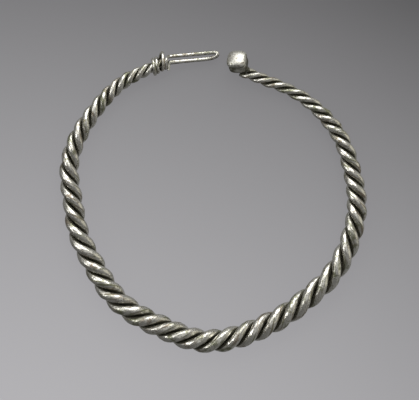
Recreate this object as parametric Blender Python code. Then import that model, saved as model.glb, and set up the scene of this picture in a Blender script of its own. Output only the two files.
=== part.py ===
"""Silver torc: three tapering rods twisted into an open neck ring, with a wire clasp and a knob.

Metres, +Z up. The torc lies flat, as it does when it is loose, with its opening towards +Y.
The origin is on the floor below the middle of the whole torc.
"""
import math

import bmesh
import bpy
import numpy as np
from mathutils import Vector

# Neck ring: the line that the rope follows, seen from above
RING_RADIUS = 0.0643
OVAL_SHARE = 0.0321
OVAL_DIRECTION = math.radians(-24.2)
LOBE_SHARE = 0.0284
LOBE_DIRECTION = math.radians(16.3)

# Hand bends: the furthest that the rope strays outward from that line, and what share of it the
# rope strays where it turns back, at shares of the rope's length from the knob's end
HAND_BEND = 0.0010
HAND_BENDS = (
    (0.000, 0.0),
    (0.030, -0.50),
    (0.085, 0.30),
    (0.135, 0.18),
    (0.190, -0.90),
    (0.250, 0.30),
    (0.320, 0.72),
    (0.375, -0.64),
    (0.425, -0.66),
    (0.510, 1.00),
    (0.570, -0.80),
    (0.635, 0.53),
    (0.690, -0.37),
    (0.725, 0.10),
    (0.770, -0.68),
    (0.820, 0.85),
    (0.895, -0.68),
    (0.955, 0.36),
    (1.000, 0.0),
)

# Rope ends: where each leaves the ring, and how it runs on
KNOB_LEAD_ANGLE = math.radians(58.0)
KNOB_LEAD_LENGTH = 0.0173
KNOB_LEAD_BEND = math.radians(8.0)
LOOP_LEAD_LENGTH = 0.0162
LOOP_LEAD_BEND = math.radians(-0.8)
LEAD_BEND_RUN = 0.006
END_RISE_RUN = 0.022
KNOB_END_RISE = 0.0014

# Rods: thickest a little past halfway, thinner at both ends
ROD_COUNT = 3
ROD_THICK = 0.00472
ROD_AT_KNOB = 0.00240
ROD_AT_LOOP = 0.00214
PLAIN_END_SHARE = 0.11
THICKEST_AT = 0.513
TAPER_POWER = 2.3
BOUND_THINNING = 0.22
LONG_ROD_OVERHANG = 0.0027
FIT_GAP = 0.0003
WEAR_DEPTH = 0.00025

# Twist by hand: the length of one full turn of a rod, in rod thicknesses, at even steps
# from the knob's end to the loop's end
ROD_LAYS = (
    6.79, 8.90, 6.39, 6.28, 4.97, 6.00, 6.70, 6.38, 5.53, 5.55, 5.35, 5.82, 5.42, 6.03, 5.59, 5.79, 6.27,
    5.57, 6.84)
TWIST_AT_KNOB = math.radians(160.8)

# Wire clasp: a binding round the rope's end, and a hairpin that hooks on the knob
WIRE_DIAMETER = 0.00140
BINDING_TURNS = 3.5
TIGHT_TURNS = 2.0
LOOSENING_TURNS = 0.5
TURN_GAP = 0.00018
TURN_LEAN = 0.00060
LOOSE_TURN_LEAN = 0.00073
EYELET_TURN = 2.80
EYELET_TURNS = 0.54
EYELET_RISE = 0.0011
EYELET_SWING = 0.0025
SWING_DELAY = 0.18
EYELET_STANDOFF = 0.00156
CROSSING_STANDOFF = 0.0017
CROSSING_PULL = 0.0028
ROOT_RUN = 0.0036
ROOT_TURN = math.radians(-6.0)
HAIRPIN_LENGTH = 0.0225
HAIRPIN_LEG_GAP = 0.00135
HAIRPIN_BEND_LENGTH = 0.0060
HAIRPIN_DROP = 0.0010
HAIRPIN_HOOK = 0.0012
HAMMERED_WIDTH = 0.00205
HAMMERED_LENGTH = 0.0110
WIRE_TAIL_LENGTH = 0.0036
TAIL_LEAN_SHARE = 1.0 / 3.0
TAIL_PULL = 0.0040

# Knob: a rounded block with a domed cap, a groove and a base, leaning off the rope's end
KNOB_WIDTH = 0.0092
KNOB_HEIGHT = 0.0084
KNOB_REACH = 0.0067
KNOB_TURN = math.radians(-32.0)
KNOB_LEAN_TURN = math.radians(-42.0)
KNOB_TILT = math.radians(44.0)
KNOB_CORNER_TURN = math.radians(14.0)
KNOB_SQUARENESS = 3.4
KNOB_FLAT = 0.0005
NECK_AT_KNOB = 0.0052
NECK_TIP_SHARE = 0.6
NECK_ROOT_SHARE = 0.1
NECK_PULL_SHARE = 0.7
MOUTH_GAP = 0.0044
MOUTH_DIRECTION = math.radians(160.0)

# Facets
ROD_SIDES = 8
STATIONS_PER_TURN = 9
WIRE_SIDES = 8
TURN_STATIONS = 10
CROSSING_STATIONS = 3
LEG_STATIONS = 5
BEND_STATIONS = 9
TAIL_STATIONS = 4
KNOB_SIDES = 28
NECK_SIDES = 16
NECK_STATIONS = 5
GROOVE_STATIONS = 5
LINE_STEP = 0.0005
END_STATION_ROOM = 0.4
SHARP_ANGLE = math.radians(50.0)

UP = Vector((0.0, 0.0, 1.0))


def ease(share):
    """Go smoothly from 0 to 1 as share goes from 0 to 1."""
    share = np.clip(share, 0.0, 1.0)
    return share * share * (3.0 - 2.0 * share)


def plan(angle, length=1.0):
    """A level vector of a given length and direction."""
    return Vector((length * math.cos(angle), length * math.sin(angle), 0.0))


# The rope's line, seen from above

def ring_point(angle):
    """A point of the ring's line, at an angle round its centre."""
    oval = OVAL_SHARE * math.cos(2.0 * (angle - OVAL_DIRECTION))
    lobe = LOBE_SHARE * math.cos(3.0 * (angle - LOBE_DIRECTION))
    return plan(angle, RING_RADIUS * (1.0 + oval + lobe))


def ring_heading(angle, sense):
    """The direction in which the ring's line runs at an angle, with sense +1 or -1 round it."""
    small = 0.001 * sense
    run = ring_point(angle + small) - ring_point(angle - small)
    return math.atan2(run.y, run.x)


def lead_points(start_angle, sense, length, bend):
    """Points of a lead that leaves the ring along its tangent and turns by a small bend."""
    heading = ring_heading(start_angle, sense)
    points = [ring_point(start_angle)]
    steps = round(length / LINE_STEP)
    step = length / steps
    for index in range(steps):
        share = (index + 0.5) * step / LEAD_BEND_RUN
        points.append(points[-1] + plan(heading + bend * float(ease(share)), step))
    return points, heading + bend


KNOB_LEAD, KNOB_HEADING = lead_points(KNOB_LEAD_ANGLE, 1.0, KNOB_LEAD_LENGTH, KNOB_LEAD_BEND)
KNOB_CENTRE = KNOB_LEAD[-1] + plan(KNOB_HEADING + KNOB_TURN, KNOB_REACH)
HAIRPIN_TIP = KNOB_CENTRE + plan(MOUTH_DIRECTION, KNOB_WIDTH / 2 + MOUTH_GAP)


def loop_root(lead_angle):
    """The hairpin's root, for a loop end that leaves the ring at an angle."""
    points, heading = lead_points(lead_angle, -1.0, LOOP_LEAD_LENGTH, LOOP_LEAD_BEND)
    return points[-1] + plan(heading + ROOT_TURN, ROOT_RUN)


def fit_loop_lead():
    """The angle of the loop end that puts the hairpin's tip at the mouth."""
    near = math.radians(100.0)
    far = math.radians(220.0)
    for _ in range(50):
        middle = (near + far) / 2
        if (loop_root(middle) - HAIRPIN_TIP).length < HAIRPIN_LENGTH:
            near = middle
        else:
            far = middle
    return near


LOOP_LEAD_ANGLE = fit_loop_lead()
LOOP_LEAD, LOOP_HEADING = lead_points(LOOP_LEAD_ANGLE, -1.0, LOOP_LEAD_LENGTH, LOOP_LEAD_BEND)


def hand_bends(shares):
    """How far the rope strays outward at shares of its length, easing between its turning spots."""
    places, strays = np.array(HAND_BENDS).T
    bends = HAND_BEND * strays
    before = np.clip(np.searchsorted(places, shares, side="right") - 1, 0, len(places) - 2)
    passed = ease((shares - places[before]) / (places[before + 1] - places[before]))
    return bends[before] + (bends[before + 1] - bends[before]) * passed


def rope_plan():
    """The rope's line from the knob's end to the loop's end, and the length along it."""
    sweep = KNOB_LEAD_ANGLE + 2.0 * math.pi - LOOP_LEAD_ANGLE
    steps = round(sweep * RING_RADIUS / LINE_STEP)
    ring = [ring_point(KNOB_LEAD_ANGLE - sweep * index / steps) for index in range(1, steps)]
    points = np.array([tuple(point)[:2] for point in KNOB_LEAD[::-1] + ring + LOOP_LEAD])
    lengths = np.concatenate([[0.0], np.cumsum(np.hypot(*np.diff(points, axis=0).T))])
    runs = np.gradient(points, lengths, axis=0)
    outward = np.stack([-runs[:, 1], runs[:, 0]], axis=-1)
    return points + outward * hand_bends(lengths / lengths[-1])[:, None], lengths


LINE, ALONG = rope_plan()
ROPE_LENGTH = float(ALONG[-1])

# Rod sizes, lay and twist along the rope

TURN_PITCH = WIRE_DIAMETER + TURN_GAP
BINDING_LENGTH = BINDING_TURNS * TURN_PITCH + EYELET_STANDOFF
BINDING_START = ROPE_LENGTH + CROSSING_STANDOFF - BINDING_LENGTH


def rod_radii(along):
    """A rod's radius at each length along the rope."""
    thickest = THICKEST_AT * ROPE_LENGTH
    to_knob = np.clip((thickest - along) / (thickest * (1.0 - PLAIN_END_SHARE)), 0.0, 1.0)
    to_loop = np.clip((along - thickest) / (ROPE_LENGTH - thickest), 0.0, 1.0)
    knob_side = ROD_THICK - (ROD_THICK - ROD_AT_KNOB) * to_knob ** TAPER_POWER
    loop_side = ROD_THICK - (ROD_THICK - ROD_AT_LOOP) * to_loop ** TAPER_POWER
    bound = 1.0 - BOUND_THINNING * ease((along - BINDING_START) / BINDING_LENGTH + 0.5)
    return np.where(along < thickest, knob_side, loop_side * bound) / 2


def lays(along):
    """The length of one turn at each length along the rope."""
    steps = np.linspace(0.0, ROPE_LENGTH, len(ROD_LAYS))
    return 2.0 * rod_radii(along) * np.interp(along, steps, ROD_LAYS)


def rod_offsets(radii, lay):
    """How far the rods' centres lie from the rope's, so that neighbours stand a gap apart.

    Two neighbours are helices a third of a turn apart. Their shortest distance is found by
    trying turned positions, and the offset is halved in on until it is a diameter and a gap.
    """
    turned = np.linspace(-2.0, 0.0, 81)[:, None]
    apart = 2.0 * math.pi / ROD_COUNT + turned
    advance = turned * lay / (2.0 * math.pi)
    low = np.zeros_like(radii)
    high = 4.0 * radii
    for _ in range(40):
        offset = (low + high) / 2
        distance = np.sqrt(2.0 * offset ** 2 * (1.0 - np.cos(apart)) + advance ** 2).min(axis=0)
        clear = distance > 2.0 * radii + FIT_GAP
        low = np.where(clear, low, offset)
        high = np.where(clear, offset, high)
    return high


RADII = rod_radii(ALONG)
LAYS = lays(ALONG)
OFFSETS = rod_offsets(RADII, LAYS)
ROPE_RADII = RADII + OFFSETS
PER_METRE = 2.0 * math.pi / LAYS
TWISTS = np.concatenate([[0.0], np.cumsum((PER_METRE[1:] + PER_METRE[:-1]) / 2 * np.diff(ALONG))])


def rope_heights():
    """The height of the rope's centre: its underside lies on the floor, and its ends rise."""
    to_loop = ease((ALONG - BINDING_START + END_RISE_RUN) / END_RISE_RUN)
    to_knob = ease(1.0 - ALONG / END_RISE_RUN)
    lift = (WIRE_DIAMETER + FIT_GAP) * to_loop + KNOB_END_RISE * to_knob
    return ROPE_RADII - WEAR_DEPTH + lift


HEIGHTS = rope_heights()


def read(values, along):
    """A value of the rope at a length along it."""
    return float(np.interp(along, ALONG, values))


def rope_point(along):
    """The rope's centre, which runs straight on past both ends."""
    inside = min(max(along, 0.0), ROPE_LENGTH)
    point = Vector((read(LINE[:, 0], inside), read(LINE[:, 1], inside), read(HEIGHTS, inside)))
    if along < 0.0:
        point += plan(KNOB_HEADING, -along)
    if along > ROPE_LENGTH:
        point += plan(LOOP_HEADING, along - ROPE_LENGTH)
    return point


def rope_direction(along):
    """The level direction of the rope, from the knob's end to the loop's end."""
    run = rope_point(along + LINE_STEP) - rope_point(along - LINE_STEP)
    run.z = 0.0
    return run.normalized()


def rope_outward(along):
    """The level direction away from the ring's middle, square to the rope."""
    return UP.cross(rope_direction(along))


def twist_at(along):
    """The first rod's angle round the rope, from outward through up, at a length along it."""
    past = min(along, 0.0) * float(PER_METRE[0]) + max(along - ROPE_LENGTH, 0.0) * float(PER_METRE[-1])
    return TWIST_AT_KNOB - read(TWISTS, along) - past


def round_rope(along, angle, distance):
    """A point beside the rope's centre, at an angle from outward through up."""
    beside = math.cos(angle) * rope_outward(along) + math.sin(angle) * UP
    return rope_point(along) + distance * beside


# Meshes

def silver(name, color, roughness):
    """A silver finish."""
    finish = bpy.data.materials.new(name)
    finish.use_nodes = True
    shader = finish.node_tree.nodes["Principled BSDF"]
    shader.inputs["Base Color"].default_value = (*color, 1.0)
    shader.inputs["Metallic"].default_value = 1.0
    shader.inputs["Roughness"].default_value = roughness
    return finish


def link_rings(mesh, rings):
    """Skin a row of rings and close both ends."""
    loops = [[mesh.verts.new(point) for point in ring] for ring in rings]
    for first, second in zip(loops, loops[1:]):
        for index in range(len(first)):
            after = (index + 1) % len(first)
            mesh.faces.new((first[index], first[after], second[after], second[index]))
    mesh.faces.new(loops[0][::-1])
    mesh.faces.new(loops[-1])
    bmesh.ops.recalc_face_normals(mesh, faces=mesh.faces)


def wear_flat(mesh):
    """Cut off what reaches below the floor, which leaves small worn flats to lie on."""
    everything = mesh.verts[:] + mesh.edges[:] + mesh.faces[:]
    bmesh.ops.bisect_plane(
        mesh, geom=everything, plane_co=(0.0, 0.0, 0.0), plane_no=(0.0, 0.0, -1.0), clear_outer=True)
    edge = [item for item in mesh.edges if item.is_boundary]
    bmesh.ops.holes_fill(mesh, edges=edge, sides=0)


def add_object(name, mesh, finish):
    """Make an object of a mesh, smooth but for its sharp edges, and hang it on the torc."""
    data = bpy.data.meshes.new(name)
    mesh.to_mesh(data)
    mesh.free()
    data.materials.append(finish)
    data.shade_smooth()
    data.set_sharp_from_angle(angle=SHARP_ANGLE)
    part = bpy.data.objects.new(name, data)
    bpy.context.scene.collection.objects.link(part)
    part.parent = TORC
    return part


def ring_round(centre, first, second, sides):
    """Points round a centre, on an oval whose half axes are two vectors."""
    angles = [2.0 * math.pi * index / sides for index in range(sides)]
    return [centre + math.cos(angle) * first + math.sin(angle) * second for angle in angles]


# Rods

def rod_centre(along, lag):
    """A rod's centre at a length along the rope, a fixed angle behind the first rod."""
    offset = read(OFFSETS, along)
    return round_rope(along, twist_at(along) + lag, offset)


def rod_ring(along, lag, radius, end_plane=None):
    """A section of a rod, square to the rod, or slanted into the plane of the rope's cut end."""
    centre = rod_centre(along, lag)
    tangent = (rod_centre(along + LINE_STEP, lag) - rod_centre(along - LINE_STEP, lag)).normalized()
    beside = centre - rope_point(along)
    first = (beside - beside.dot(tangent) * tangent).normalized()
    ring = ring_round(centre, radius * first, radius * tangent.cross(first), ROD_SIDES)
    if end_plane is None:
        return ring
    slope = tangent.dot(end_plane)
    return [point - tangent * ((point - centre).dot(end_plane) / slope) for point in ring]


def rod_stations(start):
    """Lengths along the rope at which a rod passes even angles, with its lowest spots among them."""
    step = 2.0 * math.pi / STATIONS_PER_TURN
    dense = np.arange(start, ROPE_LENGTH, LINE_STEP / 4)
    turned = np.array([-twist_at(along) for along in dense])
    lowest = -1.5 * math.pi
    first = math.ceil((turned[0] - lowest) / step + END_STATION_ROOM)
    last = math.floor((turned[-1] - lowest) / step - END_STATION_ROOM)
    even = [lowest + step * index for index in range(first, last + 1)]
    return [start] + [float(np.interp(angle, turned, dense)) for angle in even] + [ROPE_LENGTH]


def build_rod(name, index, start, finish):
    """One rod of the rope, swept along its helix and cut square to the rope at both ends."""
    lag = 2.0 * math.pi * index / ROD_COUNT
    stations = rod_stations(start)
    rings = []
    for along in stations:
        at_end = along in (stations[0], stations[-1])
        plane = rope_direction(along) if at_end else None
        rings.append(rod_ring(along, lag, read(RADII, along), plane))
    mesh = bmesh.new()
    link_rings(mesh, rings)
    wear_flat(mesh)
    return add_object(name, mesh, finish)


# Wire clasp

def between(start, start_run, end, end_run, count):
    """Points of a smooth curve between two points, without the points themselves."""
    points = []
    for index in range(1, count + 1):
        share = index / (count + 1)
        rest = 1.0 - share
        points.append(
            start * (1.0 + 2.0 * share) * rest ** 2 + start_run * share * rest ** 2
            + end * share ** 2 * (3.0 - 2.0 * share) - end_run * share ** 2 * rest)
    return points


def swell(turn, middle):
    """A share that rises smoothly to 1 at a middle turn and falls off over the eyelet's turns."""
    from_middle = min(2.0 * abs(turn - middle) / EYELET_TURNS, 1.0)
    return math.cos(from_middle * math.pi / 2) ** 2


def binding_point(turn):
    """The wire's centre after a number of turns, starting below the rope.

    The turns lean, so that they gain length over the rope's top and lose some below it. The
    loose turns after the tight ones lean more and more, and one of them stands off as an
    eyelet and swings back below.
    """
    spread = EYELET_STANDOFF * float(ease((turn - TIGHT_TURNS) / LOOSENING_TURNS))
    lean = TURN_LEAN + LOOSE_TURN_LEAN * max(turn - TIGHT_TURNS, 0.0)
    swing = EYELET_SWING * swell(turn, EYELET_TURN + SWING_DELAY)
    along = BINDING_START + TURN_PITCH * turn + spread - swing - lean * math.sin(2.0 * math.pi * turn)
    angle = 1.5 * math.pi - 2.0 * math.pi * turn
    raised = EYELET_RISE * swell(turn, EYELET_TURN)
    return round_rope(along, angle, read(ROPE_RADII, along) + FIT_GAP + WIRE_DIAMETER / 2 + raised)


def hairpin_frame():
    """The hairpin's root, its level direction and the level direction across it."""
    root = rope_point(ROPE_LENGTH) + plan(LOOP_HEADING + ROOT_TURN, ROOT_RUN)
    run = HAIRPIN_TIP - root
    run.z = 0.0
    forward = run.normalized()
    return root, forward, UP.cross(forward)


def hairpin_point(reach, side):
    """A point of the hairpin's line at a reach from its root, on one side (+1 outer, -1 inner)."""
    root, forward, across = hairpin_frame()
    bend_start = HAIRPIN_LENGTH - WIRE_DIAMETER / 2 - HAIRPIN_BEND_LENGTH
    into_bend = min(max((reach - bend_start) / HAIRPIN_BEND_LENGTH, 0.0), 1.0)
    half = (HAIRPIN_LEG_GAP + WIRE_DIAMETER) / 2 * math.sqrt(1.0 - into_bend ** 2)
    drop = HAIRPIN_DROP * float(ease(reach / bend_start))
    hook = HAIRPIN_HOOK * into_bend ** 2
    return root + reach * forward + side * half * across + (hook - drop) * UP


def clasp_line():
    """The wire's line: binding, outer leg, bend, inner leg and tail, and where the inner leg is."""
    turns = round(BINDING_TURNS * TURN_STATIONS)
    binding = [binding_point(BINDING_TURNS * index / turns) for index in range(turns + 1)]
    _, forward, across = hairpin_frame()
    bend_start = HAIRPIN_LENGTH - WIRE_DIAMETER / 2 - HAIRPIN_BEND_LENGTH
    reaches = [bend_start * index / LEG_STATIONS for index in range(LEG_STATIONS)]
    outer_leg = [hairpin_point(reach, 1.0) for reach in reaches]
    inner_leg = [hairpin_point(reach, -1.0) for reach in reversed(reaches)]
    bend = []
    for index in range(BEND_STATIONS + 1):
        angle = math.pi * index / BEND_STATIONS
        reach = bend_start + HAIRPIN_BEND_LENGTH * math.sin(angle)
        side = 1.0 if angle <= math.pi / 2 else -1.0
        bend.append(hairpin_point(reach, side))
    leaving = (binding[-1] - binding[-2]).normalized()
    crossing = between(
        binding[-1], leaving * CROSSING_PULL, outer_leg[0], forward * CROSSING_PULL, CROSSING_STATIONS)
    tail_end = inner_leg[-1] - WIRE_TAIL_LENGTH * (across + TAIL_LEAN_SHARE * forward)
    tail = between(inner_leg[-1], -forward * TAIL_PULL, tail_end, -across * TAIL_PULL, TAIL_STATIONS)
    tail.append(tail_end)
    line = binding + crossing + outer_leg + bend + inner_leg + tail
    inner_start = len(line) - len(tail) - len(inner_leg)
    return line, range(inner_start, inner_start + len(inner_leg))


def build_clasp(finish):
    """The clasp's wire, hammered a little wider along its inner leg."""
    line, inner_leg = clasp_line()
    count = len(line)
    runs = [line[min(i + 1, count - 1)] - line[max(i - 1, 0)] for i in range(count)]
    root = hairpin_frame()[0]
    side = UP.cross(runs[0]).normalized()
    rings = []
    for index, (centre, run) in enumerate(zip(line, runs)):
        tangent = run.normalized()
        side = (side - side.dot(tangent) * tangent).normalized()
        across = side * WIRE_DIAMETER / 2
        over = tangent.cross(side) * WIRE_DIAMETER / 2
        if index in inner_leg:
            flat = 1.0 - float(ease((centre - root).length / HAMMERED_LENGTH))
            level = UP.cross(tangent).normalized()
            across = level * (WIRE_DIAMETER + (HAMMERED_WIDTH - WIRE_DIAMETER) * flat) / 2
            over = tangent.cross(level) * WIRE_DIAMETER / 2
            side = level
        rings.append(ring_round(centre, across, over, WIRE_SIDES))
    mesh = bmesh.new()
    link_rings(mesh, rings)
    wear_flat(mesh)
    return add_object("clasp_wire", mesh, finish)


# Knob

KNOB_PROFILE = (
    (-0.50, 0.58),
    (-0.46, 0.80),
    (-0.34, 0.90),
    (-0.20, 0.88),
    (-0.11, 0.79),
    (-0.02, 0.93),
    (0.12, 1.00),
    (0.26, 0.96),
    (0.38, 0.84),
    (0.46, 0.60),
    (0.50, 0.28),
)


def knob_axes():
    """The knob's axis, which leans outward from upright, and two directions square to it."""
    lean = plan(KNOB_HEADING + KNOB_LEAN_TURN)
    axis = math.cos(KNOB_TILT) * UP + math.sin(KNOB_TILT) * lean
    first = (lean - lean.dot(axis) * axis).normalized()
    return axis, first, axis.cross(first)


def knob_ring(level, width_share):
    """A rounded square section of the knob, about the knob's own centre."""
    axis, first, second = knob_axes()
    power = 2.0 / KNOB_SQUARENESS
    ring = []
    for index in range(KNOB_SIDES):
        angle = 2.0 * math.pi * index / KNOB_SIDES
        cosine, sine = math.cos(angle), math.sin(angle)
        reach = KNOB_WIDTH / 2 * width_share
        x = reach * math.copysign(abs(cosine) ** power, cosine)
        y = reach * math.copysign(abs(sine) ** power, sine)
        turn = math.pi / 4 + KNOB_CORNER_TURN
        ring.append(
            axis * (level * KNOB_HEIGHT)
            + first * (x * math.cos(turn) - y * math.sin(turn))
            + second * (x * math.sin(turn) + y * math.cos(turn)))
    return ring


def knob_place():
    """The knob's centre, as high as lays its lowest edge on the floor."""
    lowest = min(point.z for level, share in KNOB_PROFILE for point in knob_ring(level, share))
    return KNOB_CENTRE + UP * (-lowest - KNOB_FLAT)


def make_tool(name, mesh):
    """An object that only cuts or joins, left out of the finished torc."""
    tool = add_object(name, mesh, None)
    tool.hide_render = True
    tool.display_type = "WIRE"
    return tool


def build_neck():
    """The knob's neck, from inside the knob to the cut ends of the rods."""
    axis = knob_axes()[0]
    start = knob_place() - axis * (KNOB_HEIGHT * NECK_ROOT_SHARE)
    rope_radius = read(ROPE_RADII, 0.0)
    tip_radius = NECK_TIP_SHARE * rope_radius
    beside = rope_outward(0.0) * (rope_radius - tip_radius)
    end = rope_point(0.0) + plan(KNOB_HEADING, FIT_GAP) + beside
    runs = (start - end).length
    middle = between(
        start, -axis * runs * NECK_PULL_SHARE, end, -plan(KNOB_HEADING, runs), NECK_STATIONS)
    line = [start] + middle + [end]
    rings = []
    for index, centre in enumerate(line):
        before, after = line[max(index - 1, 0)], line[min(index + 1, len(line) - 1)]
        tangent = (after - before).normalized()
        if index == len(line) - 1:
            tangent = plan(KNOB_HEADING + math.pi)
        side = UP.cross(tangent).normalized()
        share = index / (len(line) - 1)
        radius = NECK_AT_KNOB / 2 * (1.0 - share) + tip_radius * share
        rings.append(ring_round(centre, side * radius, tangent.cross(side) * radius, NECK_SIDES))
    mesh = bmesh.new()
    link_rings(mesh, rings)
    return make_tool("neck_tool", mesh)


def build_rod_groove(name, index, overhang):
    """The room that a rod's end needs beside the knob and its neck."""
    lag = 2.0 * math.pi * index / ROD_COUNT
    far = -overhang - FIT_GAP
    near = LONG_ROD_OVERHANG
    rings = []
    for step in range(GROOVE_STATIONS + 1):
        along = near + (far - near) * step / GROOVE_STATIONS
        rings.append(rod_ring(along, lag, read(RADII, along) + FIT_GAP, rope_direction(along)))
    mesh = bmesh.new()
    link_rings(mesh, rings)
    return make_tool(name, mesh)


def use_tool(part, tool, operation):
    """Join a tool to a part, or cut it out of the part."""
    step = part.modifiers.new(tool.name, "BOOLEAN")
    step.operation = operation
    step.solver = "EXACT"
    step.object = tool


def build_knob(finish):
    """The knob: a rounded block with a groove round it, its neck and the groove beside a rod."""
    place = knob_place()
    rings = [[place + point for point in knob_ring(level, share)] for level, share in KNOB_PROFILE]
    mesh = bmesh.new()
    link_rings(mesh, rings)
    wear_flat(mesh)
    knob = add_object("knob", mesh, finish)
    use_tool(knob, build_neck(), "UNION")
    use_tool(knob, build_rod_groove("rod_a_groove_tool", 0, LONG_ROD_OVERHANG), "DIFFERENCE")
    use_tool(knob, build_rod_groove("rod_c_groove_tool", 2, 0.0), "DIFFERENCE")
    return knob


def middle_of(parts):
    """The middle of the parts' box, seen from above."""
    bpy.context.view_layer.update()
    corners = []
    seen = bpy.context.evaluated_depsgraph_get()
    for part in parts:
        shape = part.evaluated_get(seen)
        corners += [shape.matrix_world @ vertex.co for vertex in shape.data.vertices]
    xs = [corner.x for corner in corners]
    ys = [corner.y for corner in corners]
    return Vector(((min(xs) + max(xs)) / 2, (min(ys) + max(ys)) / 2, 0.0))


for old in list(bpy.data.objects):
    bpy.data.objects.remove(old)
TORC = bpy.data.objects.new("torc", None)
bpy.context.scene.collection.objects.link(TORC)
ROD_SILVER = silver("rod_silver", (0.62, 0.61, 0.56), 0.32)
WIRE_SILVER = silver("wire_silver", (0.66, 0.65, 0.60), 0.28)
KNOB_SILVER = silver("knob_silver", (0.68, 0.67, 0.62), 0.24)
PARTS = [
    build_rod("rod_a", 0, -LONG_ROD_OVERHANG, ROD_SILVER),
    build_rod("rod_b", 1, 0.0, ROD_SILVER),
    build_rod("rod_c", 2, 0.0, ROD_SILVER),
    build_clasp(WIRE_SILVER),
    build_knob(KNOB_SILVER),
]
TORC.location = -middle_of(PARTS)
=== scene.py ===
"""Silver torc: the hammered rods, the bound wire clasp and the knob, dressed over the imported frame.

Everything is in the frame's own coordinates: the torc lies flat on z = 0, its opening towards +Y.
Lengths are in metres, angles in radians and powers in watts. A share is a part of 1.
"""
import logging
import math
from dataclasses import dataclass, field
from enum import Enum

import bpy
import numpy as np
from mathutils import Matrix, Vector


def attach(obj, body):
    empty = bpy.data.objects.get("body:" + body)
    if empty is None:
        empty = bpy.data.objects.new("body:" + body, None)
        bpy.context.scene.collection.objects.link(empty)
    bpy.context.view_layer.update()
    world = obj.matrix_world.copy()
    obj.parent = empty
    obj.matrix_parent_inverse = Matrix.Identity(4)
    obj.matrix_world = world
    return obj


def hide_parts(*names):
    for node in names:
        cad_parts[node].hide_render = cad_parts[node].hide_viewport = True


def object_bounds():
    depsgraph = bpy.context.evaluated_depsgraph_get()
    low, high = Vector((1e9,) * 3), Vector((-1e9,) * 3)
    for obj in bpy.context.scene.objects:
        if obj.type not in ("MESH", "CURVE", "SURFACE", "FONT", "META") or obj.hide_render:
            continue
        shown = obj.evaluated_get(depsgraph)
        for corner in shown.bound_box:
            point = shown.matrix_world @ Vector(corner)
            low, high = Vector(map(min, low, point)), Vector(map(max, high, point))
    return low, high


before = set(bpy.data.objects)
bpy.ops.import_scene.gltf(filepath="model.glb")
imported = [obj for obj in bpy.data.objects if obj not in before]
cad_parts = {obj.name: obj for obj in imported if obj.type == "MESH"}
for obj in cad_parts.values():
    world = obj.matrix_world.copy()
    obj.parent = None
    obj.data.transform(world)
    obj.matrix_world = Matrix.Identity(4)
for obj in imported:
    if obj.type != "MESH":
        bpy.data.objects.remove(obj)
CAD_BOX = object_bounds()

LOG = logging.getLogger("silver_torc")
UP = np.array((0.0, 0.0, 1.0))
FULL_TURN = 2.0 * math.pi
# Where the neck line's own centre lies in the frame.
LINE_PLACE = np.array((-0.00079702, 0.00120413, 0.0))
Socket = bpy.types.NodeSocket


def ease(share: np.ndarray) -> np.ndarray:
    """Go smoothly from 0 to 1 as share goes from 0 to 1."""
    share = np.clip(share, 0.0, 1.0)
    return share * share * (3.0 - 2.0 * share)


def heading(angle: float, length: float = 1.0) -> np.ndarray:
    """A level vector of a given length and direction."""
    return np.array((length * math.cos(angle), length * math.sin(angle), 0.0))


def unit(vectors: np.ndarray) -> np.ndarray:
    """Scale each row of vectors to length 1."""
    return vectors / np.linalg.norm(vectors, axis=-1, keepdims=True)


def table_read(places: np.ndarray, steps: np.ndarray, rows: np.ndarray) -> np.ndarray:
    """Read each column of a table at some places.

    Args:
        places: Where to read.
        steps: The table's own places, rising.
        rows: One row of values for each step.

    Returns:
        One row of values for each place.
    """
    return np.stack([np.interp(places, steps, rows[:, column]) for column in range(rows.shape[1])], axis=-1)


def lengths_along(points: np.ndarray) -> np.ndarray:
    """The length of a line of points up to each of them."""
    return np.concatenate([[0.0], np.cumsum(np.linalg.norm(np.diff(points, axis=0), axis=1))])


def smoothed(points: np.ndarray, times: int) -> np.ndarray:
    """Move each inner point of a line towards its neighbours.

    Args:
        points: The line.
        times: How many times over.

    Returns:
        The smoother line.
    """
    points = points.copy()
    for _ in range(times):
        points[1:-1] = (points[:-2] + 2.0 * points[1:-1] + points[2:]) / 4.0
    return points


def curve(
    start: np.ndarray, leaving: np.ndarray, end: np.ndarray, arriving: np.ndarray, shares: np.ndarray,
) -> np.ndarray:
    """Points of a smooth curve between two points.

    Args:
        start: The first point.
        leaving: The direction in which the curve leaves it, longer for a stiffer curve.
        end: The last point.
        arriving: The direction in which the curve gets there.
        shares: How far on the way each point is.

    Returns:
        One point for each share.
    """
    share = shares[:, None]
    rest = 1.0 - share
    return (
        start * (1.0 + 2.0 * share) * rest ** 2 + leaving * share * rest ** 2
        + end * share ** 2 * (3.0 - 2.0 * share) - arriving * share ** 2 * rest)


class Grain(Enum):
    """How a hammered surface varies: wave lengths along it in metres, and waves round it."""

    ROD = ((0.0031, 1), (0.0047, 2), (0.0073, 3), (0.0113, 2), (0.0026, 4), (0.0190, 1), (0.0058, 5))
    WIRE = ((0.0016, 1), (0.0023, 2), (0.0037, 3), (0.0061, 1), (0.0013, 2))


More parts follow.
